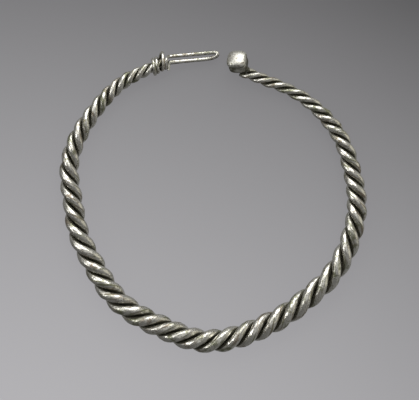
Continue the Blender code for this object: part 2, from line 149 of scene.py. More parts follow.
@dataclass(frozen=True)
class Hammering:
    """Unevenness that a hammer leaves on a round rod or wire.

    Attributes:
        grain: The waves that the unevenness is made of.
        depth: The largest change, as a share of the radius.
        facets: How many soft flats go round the section.
        facet_depth: How deep the flats are, as a share of the radius.
        seed: What makes one piece differ from the next.
        drifts: The lengths over which the flats wander round the section, in metres.
        drift_reach: How far each of them makes the flats wander, in radians.
        flat_mean: The mean depth of a flat, taken off so that the mean radius stays.
    """

    grain: Grain
    depth: float
    facets: int
    facet_depth: float
    seed: int
    drifts: tuple[float, ...] = (0.009, 0.015, 0.027)
    drift_reach: float = 0.5
    flat_mean: float = 0.64

    def swell(self, along: np.ndarray, angle: np.ndarray) -> np.ndarray:
        """The share of the radius to add at each length along the piece and angle round it.

        Args:
            along: Lengths along the piece, in metres.
            angle: Angles round its section, in radians.

        Returns:
            Shares between about minus and plus the depth.
        """
        dice = np.random.default_rng(self.seed)
        total = np.zeros(np.broadcast(along, angle).shape)
        for length, waves in self.grain.value:
            first, second = dice.uniform(0.0, FULL_TURN, 2)
            total = total + np.sin(FULL_TURN * along / length + first) * np.sin(waves * angle + second)
        total = total / math.sqrt(len(self.grain.value)) * self.depth
        drift = np.zeros_like(along)
        for length in self.drifts:
            wave = np.sin(FULL_TURN * along / length + dice.uniform(0.0, FULL_TURN))
            drift = drift + self.drift_reach * wave
        flats = np.abs(np.sin(0.5 * self.facets * (angle + drift)))
        return total + self.facet_depth * (self.flat_mean - flats)


def lie(along: np.ndarray, angles: np.ndarray, radii: np.ndarray) -> dict[str, np.ndarray]:
    """The marks that tell a streaked finish which way a piece runs.

    Args:
        along: The length along the piece at each ring.
        angles: The angles round its section, from 0 up.
        radii: The radius at each ring.

    Returns:
        Lengths along and round the piece for each point, in metres.
    """
    from_first = (angles + math.pi) % FULL_TURN - math.pi
    return {
        "lie_along": np.repeat(along[:, None], len(angles), axis=1),
        "lie_round": radii[:, None] * from_first[None, :],
    }


@dataclass(frozen=True)
class Skin:
    """Mesh data for one swept or turned piece.

    Attributes:
        rings: Points, as rings by points by 3.
        marks: Values for each point, by name: tarnish and painted shade from 0 to 1, and the lengths
        along and round the piece, in metres.
    """

    rings: np.ndarray
    marks: dict[str, np.ndarray]

    def to_object(self, name: str) -> bpy.types.Object:
        """Make a smooth closed object of the rings.

        Args:
            name: The object's name.

        Returns:
            The new object, linked to the scene.
        """
        count, sides = self.rings.shape[:2]
        points = self.rings.reshape(-1, 3)
        points = np.vstack([points, self.rings[0].mean(axis=0), self.rings[-1].mean(axis=0)])
        points = np.clip(points, CAD_BOX[0], CAD_BOX[1])
        rows = np.arange(count - 1)[:, None] * sides
        here = np.arange(sides)[None, :]
        after = (here + 1) % sides
        quads = np.stack([rows + here, rows + after, rows + sides + after, rows + sides + here], axis=-1)
        quads = quads.reshape(-1, 4)
        first_cap = np.stack([after[0], here[0], np.full(sides, count * sides)], axis=-1)
        last = (count - 1) * sides
        last_cap = np.stack([last + here[0], last + after[0], np.full(sides, count * sides + 1)], axis=-1)
        faces = quads.tolist() + first_cap.tolist() + last_cap.tolist()
        mesh = bpy.data.meshes.new(name)
        mesh.from_pydata(points.tolist(), [], faces)
        mesh.shade_smooth()
        for mark, values in self.marks.items():
            flat = values.reshape(-1)
            flat = np.concatenate([flat, [values[0].mean(), values[-1].mean()]])
            layer = mesh.attributes.new(mark, "FLOAT", "POINT")
            layer.data.foreach_set("value", flat.astype(np.float32))
        mesh.validate()
        mesh.update()
        piece = bpy.data.objects.new(name, mesh)
        bpy.context.scene.collection.objects.link(piece)
        return piece


def sweep(
    centres: np.ndarray,
    firsts: np.ndarray,
    radii: np.ndarray,
    flattening: np.ndarray,
    angles: np.ndarray,
    swell: np.ndarray,
) -> np.ndarray:
    """Sweep an uneven round or oval section along a line.

    Args:
        centres: The line's points.
        firsts: A direction across the line at each point, where the section's angle is 0.
        radii: The section's radius at each point, along that direction.
        flattening: The radius across it, as a share of the first.
        angles: The angles round the section.
        swell: The share to add to the radius, for each point and angle.

    Returns:
        Rings of points, as points by angles by 3.
    """
    tangents = unit(np.gradient(centres, axis=0))
    firsts = unit(firsts - (firsts * tangents).sum(axis=-1, keepdims=True) * tangents)
    seconds = np.cross(tangents, firsts)
    reach = radii[:, None] * (1.0 + swell)
    along_first = (reach * np.cos(angles)[None, :])[..., None] * firsts[:, None, :]
    along_second = (reach * flattening[:, None] * np.sin(angles)[None, :])[..., None] * seconds[:, None, :]
    return centres[:, None, :] + along_first + along_second


@dataclass(frozen=True)
class NeckLine:
    """The line that the rope follows round the neck, seen from above.

    Attributes:
        ring_radius: The mean radius of the ring's line.
        oval_share: How far it is drawn out to an oval, as a share of the radius.
        oval_direction: The direction of the oval's long axis.
        lobe_share: How far three soft lobes stand out, as a share of the radius.
        lobe_direction: The direction of one lobe.
        knob_lead_angle: Where the knob's lead leaves the ring.
        knob_lead_length: The length of that lead.
        knob_lead_bend: How far it turns inward.
        loop_lead_length: The length of the clasp's lead.
        loop_lead_bend: How far it turns inward.
        lead_bend_run: The length over which a lead turns.
        root_run: From the rope's end to the hairpin's root.
        root_turn: The direction of that, from the rope's own.
        hairpin_length: From the root to the hairpin's tip.
        knob_reach: From the rope's end to the knob's centre.
        knob_turn: The direction from the rope's end to the knob, from the rope's own.
        knob_width: The knob's width.
        mouth_gap: From the knob to the hairpin's tip.
        mouth_direction: The direction of that gap.
        hand_bends: How far the rope strays outward from the line, at shares of its length.
        step: The distance between points of the line.
    """

    ring_radius: float = 0.0643
    oval_share: float = 0.0321
    oval_direction: float = math.radians(-24.2)
    lobe_share: float = 0.0284
    lobe_direction: float = math.radians(16.3)
    knob_lead_angle: float = math.radians(58.0)
    knob_lead_length: float = 0.0173
    knob_lead_bend: float = math.radians(8.0)
    loop_lead_length: float = 0.0162
    loop_lead_bend: float = math.radians(-0.8)
    lead_bend_run: float = 0.006
    root_run: float = 0.0036
    root_turn: float = math.radians(-6.0)
    hairpin_length: float = 0.0225
    knob_reach: float = 0.0067
    knob_turn: float = math.radians(-32.0)
    knob_width: float = 0.0092
    mouth_gap: float = 0.0044
    mouth_direction: float = math.radians(160.0)
    hand_bends: tuple[tuple[float, float], ...] = (
        (0.000, 0.0), (0.030, -0.00050), (0.085, 0.00030), (0.135, 0.00018), (0.190, -0.00090),
        (0.250, 0.00030), (0.320, 0.00072), (0.375, -0.00064), (0.425, -0.00066), (0.510, 0.00100),
        (0.570, -0.00080), (0.635, 0.00053), (0.690, -0.00037), (0.725, 0.00010), (0.770, -0.00068),
        (0.820, 0.00085), (0.895, -0.00068), (0.955, 0.00036), (1.000, 0.0))
    step: float = 0.0005

    def ring_point(self, angle: float) -> np.ndarray:
        """A point of the ring's line.

        Args:
            angle: The angle round the ring's centre.

        Returns:
            The point.
        """
        oval = self.oval_share * math.cos(2.0 * (angle - self.oval_direction))
        lobe = self.lobe_share * math.cos(3.0 * (angle - self.lobe_direction))
        return heading(angle, self.ring_radius * (1.0 + oval + lobe))

    def ring_heading(self, angle: float, sense: float) -> float:
        """The direction in which the ring's line runs.

        Args:
            angle: The angle round the ring's centre.
            sense: +1 or -1, the way it runs round the ring.

        Returns:
            The direction.
        """
        nudge = 0.001 * sense
        run = self.ring_point(angle + nudge) - self.ring_point(angle - nudge)
        return math.atan2(run[1], run[0])

    def lead(self, start_angle: float, sense: float, length: float, bend: float) -> tuple[list, float]:
        """Points of a lead that leaves the ring along its tangent and turns a little.

        Args:
            start_angle: Where it leaves the ring.
            sense: +1 or -1, the way it runs round the ring.
            length: Its length.
            bend: How far it turns.

        Returns:
            Its points, and the direction at its end.
        """
        start = self.ring_heading(start_angle, sense)
        points = [self.ring_point(start_angle)]
        steps = round(length / self.step)
        stride = length / steps
        for index in range(steps):
            share = (index + 0.5) * stride / self.lead_bend_run
            points.append(points[-1] + heading(start + bend * float(ease(share)), stride))
        return points, start + bend

    def knob_end(self) -> tuple[list, float]:
        """The knob's lead and the direction at its end."""
        return self.lead(self.knob_lead_angle, 1.0, self.knob_lead_length, self.knob_lead_bend)

    def knob_centre(self) -> np.ndarray:
        """The knob's centre, on the floor."""
        points, direction = self.knob_end()
        return points[-1] + heading(direction + self.knob_turn, self.knob_reach)

    def hairpin_tip(self) -> np.ndarray:
        """The hairpin's tip, on the floor."""
        return self.knob_centre() + heading(self.mouth_direction, self.knob_width / 2 + self.mouth_gap)

    def loop_lead_angle(self) -> float:
        """Where the clasp's lead leaves the ring, so that the hairpin's tip is at the mouth.

        Returns:
            The angle round the ring's centre.
        """
        near, far = math.radians(100.0), math.radians(220.0)
        tip = self.hairpin_tip()
        for _ in range(50):
            middle = (near + far) / 2
            points, direction = self.lead(middle, -1.0, self.loop_lead_length, self.loop_lead_bend)
            root = points[-1] + heading(direction + self.root_turn, self.root_run)
            if np.linalg.norm(root - tip) < self.hairpin_length:
                near = middle
            else:
                far = middle
        return near

    def strayed(self, shares: np.ndarray) -> np.ndarray:
        """How far the rope strays outward from the line.

        Args:
            shares: Places along the line, as shares of its length.

        Returns:
            A distance for each.
        """
        places, bends = np.array(self.hand_bends).T
        before = np.clip(np.searchsorted(places, shares, side="right") - 1, 0, len(places) - 2)
        passed = ease((shares - places[before]) / (places[before + 1] - places[before]))
        return bends[before] + (bends[before + 1] - bends[before]) * passed

    def whole(self) -> tuple[np.ndarray, np.ndarray, float, float]:
        """The whole line, from the knob's end to the clasp's end.

        Returns:
            Its points, the lengths along it, and the directions at its two ends.
        """
        knob_lead, knob_direction = self.knob_end()
        loop_angle = self.loop_lead_angle()
        loop_lead, loop_direction = self.lead(loop_angle, -1.0, self.loop_lead_length, self.loop_lead_bend)
        span = self.knob_lead_angle + FULL_TURN - loop_angle
        steps = round(span * self.ring_radius / self.step)
        ring = [self.ring_point(self.knob_lead_angle - span * index / steps) for index in range(1, steps)]
        points = np.array(knob_lead[::-1] + ring + loop_lead)
        along = lengths_along(points)
        outward = np.cross(UP, np.gradient(points, along, axis=0))
        points = points + outward * self.strayed(along / along[-1])[:, None]
        return points, along, knob_direction, loop_direction


@dataclass
class Rope:
    """Three tapering rods twisted together.

    Attributes:
        line: The line that the rope follows.
        place: Where the line's own centre is in the frame.
        rod_count: How many rods there are.
        rod_thick: A rod's thickness where it is thickest.
        rod_at_knob: Its thickness at the knob's end.
        rod_at_loop: Its thickness at the clasp's end.
        plain_end_share: How much of the knob's side keeps one thickness.
        thickest_at: Where it is thickest, as a share of the length.
        taper_power: How late it starts to thin towards the ends.
        bound_thinning: How much thinner the rods are in the binding, as a share.
        bound_lead: How far before the binding that starts, as a share of the bound length.
        overhang: How far the longest rod runs on past the others at the knob.
        fit_gap: The gap between neighbours.
        wear_depth: How far the rope is worn flat below.
        rod_lays: The length of a turn in rod thicknesses, at even steps from the knob's end.
        twist_at_knob: The first rod's angle round the rope at the knob's end.
        binding_length: The length that the clasp binds.
        binding_standoff: How far the binding reaches past the rope's end.
        end_rise_run: The length over which an end rises.
        knob_end_rise: How far the knob's end rises.
        loop_end_rise: How far the clasp's end rises.
        length: The rope's length, once worked out.
        binding_start: The length along it where the binding starts, once worked out.
    """

    line: NeckLine
    place: np.ndarray
    rod_count: int = 3
    rod_thick: float = 0.00472
    rod_at_knob: float = 0.00240
    rod_at_loop: float = 0.00214
    plain_end_share: float = 0.11
    thickest_at: float = 0.513
    taper_power: float = 2.3
    bound_thinning: float = 0.22
    bound_lead: float = 0.5
    overhang: float = 0.0027
    fit_gap: float = 0.0003
    wear_depth: float = 0.00025
    rod_lays: tuple[float, ...] = (
        6.79, 8.90, 6.39, 6.28, 4.97, 6.00, 6.70, 6.38, 5.53, 5.55, 5.35, 5.82, 5.42, 6.03, 5.59, 5.79,
        6.27, 5.57, 6.84)
    twist_at_knob: float = math.radians(160.8)
    binding_length: float = 0.00709
    binding_standoff: float = 0.0017
    end_rise_run: float = 0.022
    knob_end_rise: float = 0.0014
    loop_end_rise: float = 0.0017
    length: float = field(init=False)
    binding_start: float = field(init=False)

    def __post_init__(self) -> None:
        """Work out the tables that the rest reads."""
        self.points, self.along, self.knob_direction, self.loop_direction = self.line.whole()
        self.length = float(self.along[-1])
        self.binding_start = self.length + self.binding_standoff - self.binding_length
        self.radii = self.rod_radii()
        steps = np.linspace(0.0, self.length, len(self.rod_lays))
        self.lays = 2.0 * self.radii * np.interp(self.along, steps, self.rod_lays)
        self.offsets = self.rod_offsets()
        self.rope_radii = self.radii + self.offsets
        per_metre = FULL_TURN / self.lays
        turned = (per_metre[1:] + per_metre[:-1]) / 2 * np.diff(self.along)
        self.twists = np.concatenate([[0.0], np.cumsum(turned)])
        self.end_rates = float(per_metre[0]), float(per_metre[-1])
        to_loop = ease((self.along - self.binding_start + self.end_rise_run) / self.end_rise_run)
        to_knob = ease(1.0 - self.along / self.end_rise_run)
        self.heights = (
            self.rope_radii - self.wear_depth + self.loop_end_rise * to_loop + self.knob_end_rise * to_knob)
        self.directions = unit(np.gradient(self.points, self.along, axis=0))

    def rod_radii(self) -> np.ndarray:
        """How thick a rod is along the rope.

        Returns:
            A rod's radius at each step along the rope.
        """
        thickest = self.thickest_at * self.length
        to_knob = np.clip((thickest - self.along) / (thickest * (1.0 - self.plain_end_share)), 0.0, 1.0)
        to_loop = np.clip((self.along - thickest) / (self.length - thickest), 0.0, 1.0)
        knob_side = self.rod_thick - (self.rod_thick - self.rod_at_knob) * to_knob ** self.taper_power
        loop_side = self.rod_thick - (self.rod_thick - self.rod_at_loop) * to_loop ** self.taper_power
        into_binding = (self.along - self.binding_start) / self.binding_length
        bound = 1.0 - self.bound_thinning * ease(into_binding + self.bound_lead)
        return np.where(self.along < thickest, knob_side, loop_side * bound) / 2

    def rod_offsets(self) -> np.ndarray:
        """How far the rods' centres lie from the rope's, so that neighbours stand a gap apart.

        Returns:
            A distance at each step along the rope.
        """
        turned = np.linspace(-2.0, 0.0, 81)[:, None]
        apart = FULL_TURN / self.rod_count + turned
        advance = turned * self.lays / FULL_TURN
        low = np.zeros_like(self.radii)
        high = 4.0 * self.radii
        for _ in range(40):
            offset = (low + high) / 2
            distance = np.sqrt(2.0 * offset ** 2 * (1.0 - np.cos(apart)) + advance ** 2).min(axis=0)
            clear = distance > 2.0 * self.radii + self.fit_gap
            low = np.where(clear, low, offset)
            high = np.where(clear, offset, high)
        return high

    def read(self, values: np.ndarray, along: np.ndarray) -> np.ndarray:
        """A value of the rope at some lengths along it."""
        return np.interp(along, self.along, values)

    def centre(self, along: np.ndarray) -> np.ndarray:
        """The rope's centre, which runs straight on past both ends.

        Args:
            along: Lengths along the rope.

        Returns:
            One point for each length, in the frame.
        """
        along = np.atleast_1d(along)
        points = table_read(along, self.along, self.points)
        points[:, 2] = self.read(self.heights, along)
        before = np.maximum(-along, 0.0)[:, None] * heading(self.knob_direction)
        after = np.maximum(along - self.length, 0.0)[:, None] * heading(self.loop_direction)
        return points + before + after + self.place

    def outward(self, along: np.ndarray) -> np.ndarray:
        """The level direction away from the ring's middle, square to the rope."""
        return np.cross(UP, unit(table_read(np.atleast_1d(along), self.along, self.directions)))

    def twist(self, along: np.ndarray) -> np.ndarray:
        """The first rod's angle round the rope, from outward through up.

        Args:
            along: Lengths along the rope.

        Returns:
            An angle for each.
        """
        past = (
            np.minimum(along, 0.0) * self.end_rates[0]
            + np.maximum(along - self.length, 0.0) * self.end_rates[1])
        return self.twist_at_knob - self.read(self.twists, along) - past

    def beside(self, along: np.ndarray, angle: np.ndarray, distance: np.ndarray) -> np.ndarray:
        """Points beside the rope's centre.

        Args:
            along: Lengths along the rope.
            angle: Angles round it, from outward through up.
            distance: Distances from its centre.

        Returns:
            One point for each length.
        """
        ray = np.cos(angle)[:, None] * self.outward(along) + np.sin(angle)[:, None] * UP
        return self.centre(along) + np.atleast_1d(distance)[:, None] * ray


@dataclass(frozen=True)
class NodeBench:
    """Puts shader nodes into one material or into the world.

    Attributes:
        tree: The node tree that they go into.
    """

    tree: bpy.types.NodeTree

    def add(self, kind: str) -> bpy.types.Node:
        """Add a node of one kind."""
        return self.tree.nodes.new(kind)

    def join(self, value: Socket, socket: Socket) -> None:
        """Lead a value to a socket."""
        self.tree.links.new(value, socket)

    def mark(self, name: str) -> Socket:
        """Read one of the marks on a piece's points.

        Args:
            name: The mark's name.

        Returns:
            Its value.
        """
        reader = self.add("ShaderNodeAttribute")
        reader.attribute_name = name
        return reader.outputs["Fac"]

    def level_sides(self, place: Socket) -> tuple[Socket, Socket]:
        """Split a place into its two level sides.

        Args:
            place: The place.

        Returns:
            How far it lies along X and along Y.
        """
        split = self.add("ShaderNodeSeparateXYZ")
        self.join(place, split.inputs["Vector"])
        return split.outputs["X"], split.outputs["Y"]

    def noise(self, place: Socket, size: float, detail: float) -> Socket:
        """Add a noise of a given grain size.

        Args:
            place: The coordinates.
            size: The grain's size in metres.
            detail: How many finer grains are laid over it.

        Returns:
            The noise's value.
        """
        grain = self.add("ShaderNodeTexNoise")
        grain.inputs["Scale"].default_value = 1.0 / size
        grain.inputs["Detail"].default_value = detail
        grain.inputs["Roughness"].default_value = 0.5
        self.join(place, grain.inputs["Vector"])
        return grain.outputs["Fac"]

    def band(self, value: Socket, low: float, high: float) -> Socket:
        """Stretch the part of a value between two limits to 0 to 1, smoothly.

        Args:
            value: The value.
            low: What becomes 0.
            high: What becomes 1.

        Returns:
            The stretched value.
        """
        stretch = self.add("ShaderNodeMapRange")
        stretch.interpolation_type = "SMOOTHSTEP"
        stretch.inputs["From Min"].default_value = low
        stretch.inputs["From Max"].default_value = high
        self.join(value, stretch.inputs["Value"])
        return stretch.outputs["Result"]

    def between(self, share: Socket, first: float, second: float) -> Socket:
        """Go evenly from a first number to a second one.

        Args:
            share: How far to go, from 0 to 1.
            first: The number at 0.
            second: The number at 1.

        Returns:
            The number in between.
        """
        spread = self.add("ShaderNodeMapRange")
        spread.inputs["To Min"].default_value = first
        spread.inputs["To Max"].default_value = second
        self.join(share, spread.inputs["Value"])
        return spread.outputs["Result"]

    def arithmetic(self, operation: str, *values: Socket | float) -> Socket:
        """Add a sum, a product or the like.

        Args:
            operation: The operation's name.
            values: Sockets or numbers.

        Returns:
            The result.
        """
        step = self.add("ShaderNodeMath")
        step.operation = operation
        for index, value in enumerate(values):
            if isinstance(value, (int, float)):
                step.inputs[index].default_value = value
            else:
                self.join(value, step.inputs[index])
        return step.outputs["Value"]

    def mixed(self, share: Socket, first: Socket | tuple, second: Socket | tuple) -> Socket:
        """Mix two colours.

        Args:
            share: How much of the second.
            first: A colour or a socket.
            second: A colour or a socket.

        Returns:
            The mixed colour.
        """
        mix = self.add("ShaderNodeMix")
        mix.data_type = "RGBA"
        self.join(share, mix.inputs["Factor"])
        for socket, colour in ((mix.inputs["A"], first), (mix.inputs["B"], second)):
            if isinstance(colour, tuple):
                socket.default_value = (*colour, 1.0)
            else:
                self.join(colour, socket)
        return mix.outputs["Result"]


@dataclass(frozen=True)
class Silver:
    """A silver finish, bright on its high spots and dark with tarnish and painted shade where a piece's mark
    says.

    A band is a pair of limits: below the first a noise does nothing, above the second it does all.

    Attributes:
        name: The material's name.
        bright: The colour of clean metal.
        dull: The colour of patches of thin tarnish.
        warm: The browner colour that it has in other places.
        dark: The colour of thick tarnish and of painted shade, in grooves and on turned-down sides.
        polish: The roughness of clean metal.
        matte: The roughness of dull metal.
        edge_shine: The level of the plain shine that the thick tarnish and painted shade keep.
        tarnish_and_shade_metal: How metallic the thick tarnish and painted shade still are.
        patch_size: The size of the patches, in metres.
        tint_size: The size of the places where they are browner, in metres.
        pit_size: The size of small pits, in metres.
        dent_size: The size of shallow dents, in metres.
        streak_size: The width of the streaks that run along a piece, in metres.
        streak_stretch: How many times longer than wide they are.
        relief: The depth of pits and dents, in metres.
        pit_relief: How deep the pits are, as a share of the dents.
        streak_relief: How deep the streaks are, as a share of the dents.
        patches: How much of the surface the patches cover, from 0 to 1.
        patch_band: The patches' band when nothing is covered.
        patch_reach: How far the patches' cover moves it down.
        pit_band: The band that makes dull specks of the pits.
        streak_band: The band that makes dull scratches of the streaks.
        tint_band: The band that makes some places browner.
        tarnish_and_shade_band: The band that makes thick tarnish and painted shade.
        raggedness: How much the patches break up the edge of the thick tarnish and painted shade.
    """

    name: str
    bright: tuple[float, float, float] = (0.78, 0.762, 0.69)
    dull: tuple[float, float, float] = (0.30, 0.305, 0.21)
    warm: tuple[float, float, float] = (0.35, 0.298, 0.235)
    # Colour for thick tarnish and for painted shade.
    dark: tuple[float, float, float] = (0.085, 0.080, 0.056)
    polish: float = 0.27
    matte: float = 0.46
    edge_shine: float = 0.25
    tarnish_and_shade_metal: float = 0.25
    patch_size: float = 0.0035
    tint_size: float = 0.0080
    pit_size: float = 0.0008
    dent_size: float = 0.0022
    streak_size: float = 0.0011
    streak_stretch: float = 7.0
    relief: float = 0.00013
    pit_relief: float = 0.06
    streak_relief: float = 0.9
    patches: float = 0.45
    patch_band: tuple[float, float] = (0.72, 0.86)
    patch_reach: float = 0.4
    pit_band: tuple[float, float] = (0.56, 0.68)
    streak_band: tuple[float, float] = (0.54, 0.66)
    tint_band: tuple[float, float] = (0.42, 0.60)
    tarnish_and_shade_band: tuple[float, float] = (0.32, 0.80)
    raggedness: float = 0.9

    def lengthwise(self, bench: NodeBench) -> Socket:
        """Coordinates that follow a piece, drawn out along it.

        Args:
            bench: What adds the nodes.

        Returns:
            The coordinates.
        """
        joined = bench.add("ShaderNodeCombineXYZ")
        for mark, axis, share in (("lie_along", "X", 1.0 / self.streak_stretch), ("lie_round", "Y", 1.0)):
            bench.join(bench.arithmetic("MULTIPLY", bench.mark(mark), share), joined.inputs[axis])
        return joined.outputs["Vector"]

    def dull_share(self, bench: NodeBench, patch: Socket, pit: Socket, streak: Socket) -> Socket:
        """How much thin tarnish each spot has.

        Args:
            bench: What adds the nodes.
            patch: The patches' noise.
            pit: The pits' noise.
            streak: The streaks' noise.

        Returns:
            A share from 0 to 1.
        """
        covered = self.patch_reach * self.patches
        patches = bench.band(patch, self.patch_band[0] - covered, self.patch_band[1] - covered)
        specks = bench.arithmetic("MAXIMUM", patches, bench.band(pit, *self.pit_band))
        return bench.arithmetic("MAXIMUM", specks, bench.band(streak, *self.streak_band))

    def tarnish_and_shade_share(self, bench: NodeBench, patch: Socket) -> Socket:
        """How dark each spot is with thick tarnish and painted shade: the piece's own mark, with ragged edges.

        Args:
            bench: What adds the nodes.
            patch: The patches' noise.

        Returns:
            A share from 0 to 1.
        """
        ragged = bench.arithmetic("MULTIPLY", bench.arithmetic("SUBTRACT", patch, 0.5), self.raggedness)
        return bench.band(bench.arithmetic("ADD", bench.mark("tarnish_and_shade"), ragged), *self.tarnish_and_shade_band)

    def material(self) -> bpy.types.Material:
        """Build the material.

        Returns:
            The new material.
        """
        made = bpy.data.materials.new(self.name)
        made.use_nodes = True
        bench = NodeBench(made.node_tree)
        shader = made.node_tree.nodes["Principled BSDF"]
        shader.inputs["Specular IOR Level"].default_value = self.edge_shine
        place = bench.add("ShaderNodeTexCoord").outputs["Object"]
        patch = bench.noise(place, self.patch_size, 4.0)
        pit = bench.noise(place, self.pit_size, 2.0)
        dent = bench.noise(place, self.dent_size, 1.0)
        streak = bench.noise(self.lengthwise(bench), self.streak_size, 1.0)
        dull_share = self.dull_share(bench, patch, pit, streak)
        thick = self.tarnish_and_shade_share(bench, patch)
        tint = bench.band(bench.noise(place, self.tint_size, 1.0), *self.tint_band)
        colour = bench.mixed(dull_share, self.bright, bench.mixed(tint, self.dull, self.warm))
        # The dark colour paints thick tarnish and painted shade wherever the piece's mark is high.
        bench.join(bench.mixed(thick, colour, self.dark), shader.inputs["Base Color"])
        # Roughness follows the dull patches and the dark mark, which is partly painted shade.
        worn = bench.arithmetic("MAXIMUM", dull_share, thick)
        bench.join(bench.between(worn, self.polish, self.matte), shader.inputs["Roughness"])
        bench.join(bench.between(thick, 1.0, self.tarnish_and_shade_metal), shader.inputs["Metallic"])
        fine = bench.arithmetic(
            "ADD", bench.arithmetic("MULTIPLY", pit, self.pit_relief),
            bench.arithmetic("MULTIPLY", streak, self.streak_relief))
        bump = bench.add("ShaderNodeBump")
        bump.inputs["Strength"].default_value = 1.0
        bump.inputs["Distance"].default_value = self.relief
        bench.join(bench.arithmetic("ADD", dent, fine), bump.inputs["Height"])
        bench.join(bump.outputs["Normal"], shader.inputs["Normal"])
        return made


@dataclass
class Rod:
    """One hammered rod of the rope.

    Attributes:
        name: The node it stands for.
        index: Which rod it is.
        start: Where it starts along the rope.
        rope: The rope that it is part of.
        hammering: Its unevenness.
        fullness: Its mean radius, as a share of the frame's.
        groove_start: The angle from its crest at which the tarnish and painted shade of the grooves start.
        groove_run: Over how many radians it gets full.
        paler_groove_run: The length before the binding over which its grooves get paler.
        paler_groove_shift: How much deeper in the groove the darkening then starts, in radians.
        flank_painted_shade: How much painted shade its sides have where they turn down.
        flank_level: How far up a side faces where that starts, from 1 for straight up to 0.
        flank_run: Over how much of that it gets full.
        sides: Points round it.
        step: The distance between its rings.
    """

    name: str
    index: int
    start: float
    rope: Rope
    hammering: Hammering
    fullness: float = 0.96
    groove_start: float = 0.92
    groove_run: float = 0.80
    paler_groove_run: float = 0.020
    paler_groove_shift: float = 0.35
    flank_painted_shade: float = 0.75
    flank_level: float = 0.50
    flank_run: float = 0.5
    sides: int = 44
    step: float = 0.0003

    def skin(self) -> Skin:
        """Sweep the rod along its helix, cut square to the rope at both ends.

        Returns:
            Its rings, with tarnish and painted shade in the grooves and painted shade on the flanks.
        """
        rope = self.rope
        count = round((rope.length - self.start) / self.step)
        along = np.linspace(self.start, rope.length, count + 1)
        angle = rope.twist(along) + FULL_TURN * self.index / rope.rod_count
        centres = rope.beside(along, angle, rope.read(rope.offsets, along))
        firsts = centres - rope.centre(along)
        round_it = np.linspace(0.0, FULL_TURN, self.sides, endpoint=False)
        swell = self.hammering.swell(along[:, None], round_it[None, :])
        radii = rope.read(rope.radii, along) * self.fullness
        rings = sweep(centres, firsts, radii, np.ones(count + 1), round_it, swell)
        rings[0] = self.cut(rings[0], centres[0], centres[1] - centres[0], along[0])
        rings[-1] = self.cut(rings[-1], centres[-1], centres[-1] - centres[-2], along[-1])
        tarnish_and_shade = self.tarnish_and_shade_map(along, round_it, unit(rings - centres[:, None, :])[..., 2])
        return Skin(rings, {"tarnish_and_shade": tarnish_and_shade, **lie(along, round_it, radii)})

    def tarnish_and_shade_map(self, along: np.ndarray, round_it: np.ndarray, facing_up: np.ndarray) -> np.ndarray:
        """Where the rod is darkened: tarnish and painted shade in the grooves, painted shade on its flanks, and
        full dark on its cut ends.

        Args:
            along: The length along the rope at each ring.
            round_it: The angles round its section, 0 at the crest.
            facing_up: How far up each point faces, from -1 to 1.

        Returns:
            A share for each point.
        """
        from_crest = np.abs((round_it + math.pi) % FULL_TURN - math.pi)
        to_binding = (along - self.rope.binding_start + self.paler_groove_run) / self.paler_groove_run
        paler_shift = self.paler_groove_shift * ease(to_binding)
        # Tarnish and painted shade in the grooves between the rods, paler near the binding.
        groove = ease((from_crest[None, :] - self.groove_start - paler_shift[:, None]) / self.groove_run)
        # Painted shade on the flanks that turn down.
        flank = self.flank_painted_shade * ease((self.flank_level - facing_up) / self.flank_run)
        tarnish_and_shade = np.maximum(groove, flank)
        # The cut ends are made fully dark.
        tarnish_and_shade[[0, 1, -2, -1]] = 1.0
        return tarnish_and_shade

    def cut(self, ring: np.ndarray, centre: np.ndarray, run: np.ndarray, along: float) -> np.ndarray:
        """Slide a ring's points along the rod into the plane of the rope's cut end.

        Args:
            ring: The ring.
            centre: Its centre.
            run: The rod's direction there.
            along: The length along the rope.

        Returns:
            The slid ring.
        """
        tangent = unit(run)
        plane = np.cross(self.rope.outward(along)[0], UP)
        slide = (ring - centre) @ plane / float(tangent @ plane)
        return ring - slide[:, None] * tangent

    def build(self, finish: bpy.types.Material) -> bpy.types.Object:
        """Make the rod, dress it and let it stand for its node.

        Args:
            finish: Its material.

        Returns:
            The new object.
        """
        piece = self.skin().to_object(self.name + "_hammered")
        piece.data.materials.append(finish)
        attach(piece, "root")
        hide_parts(self.name)
        return piece


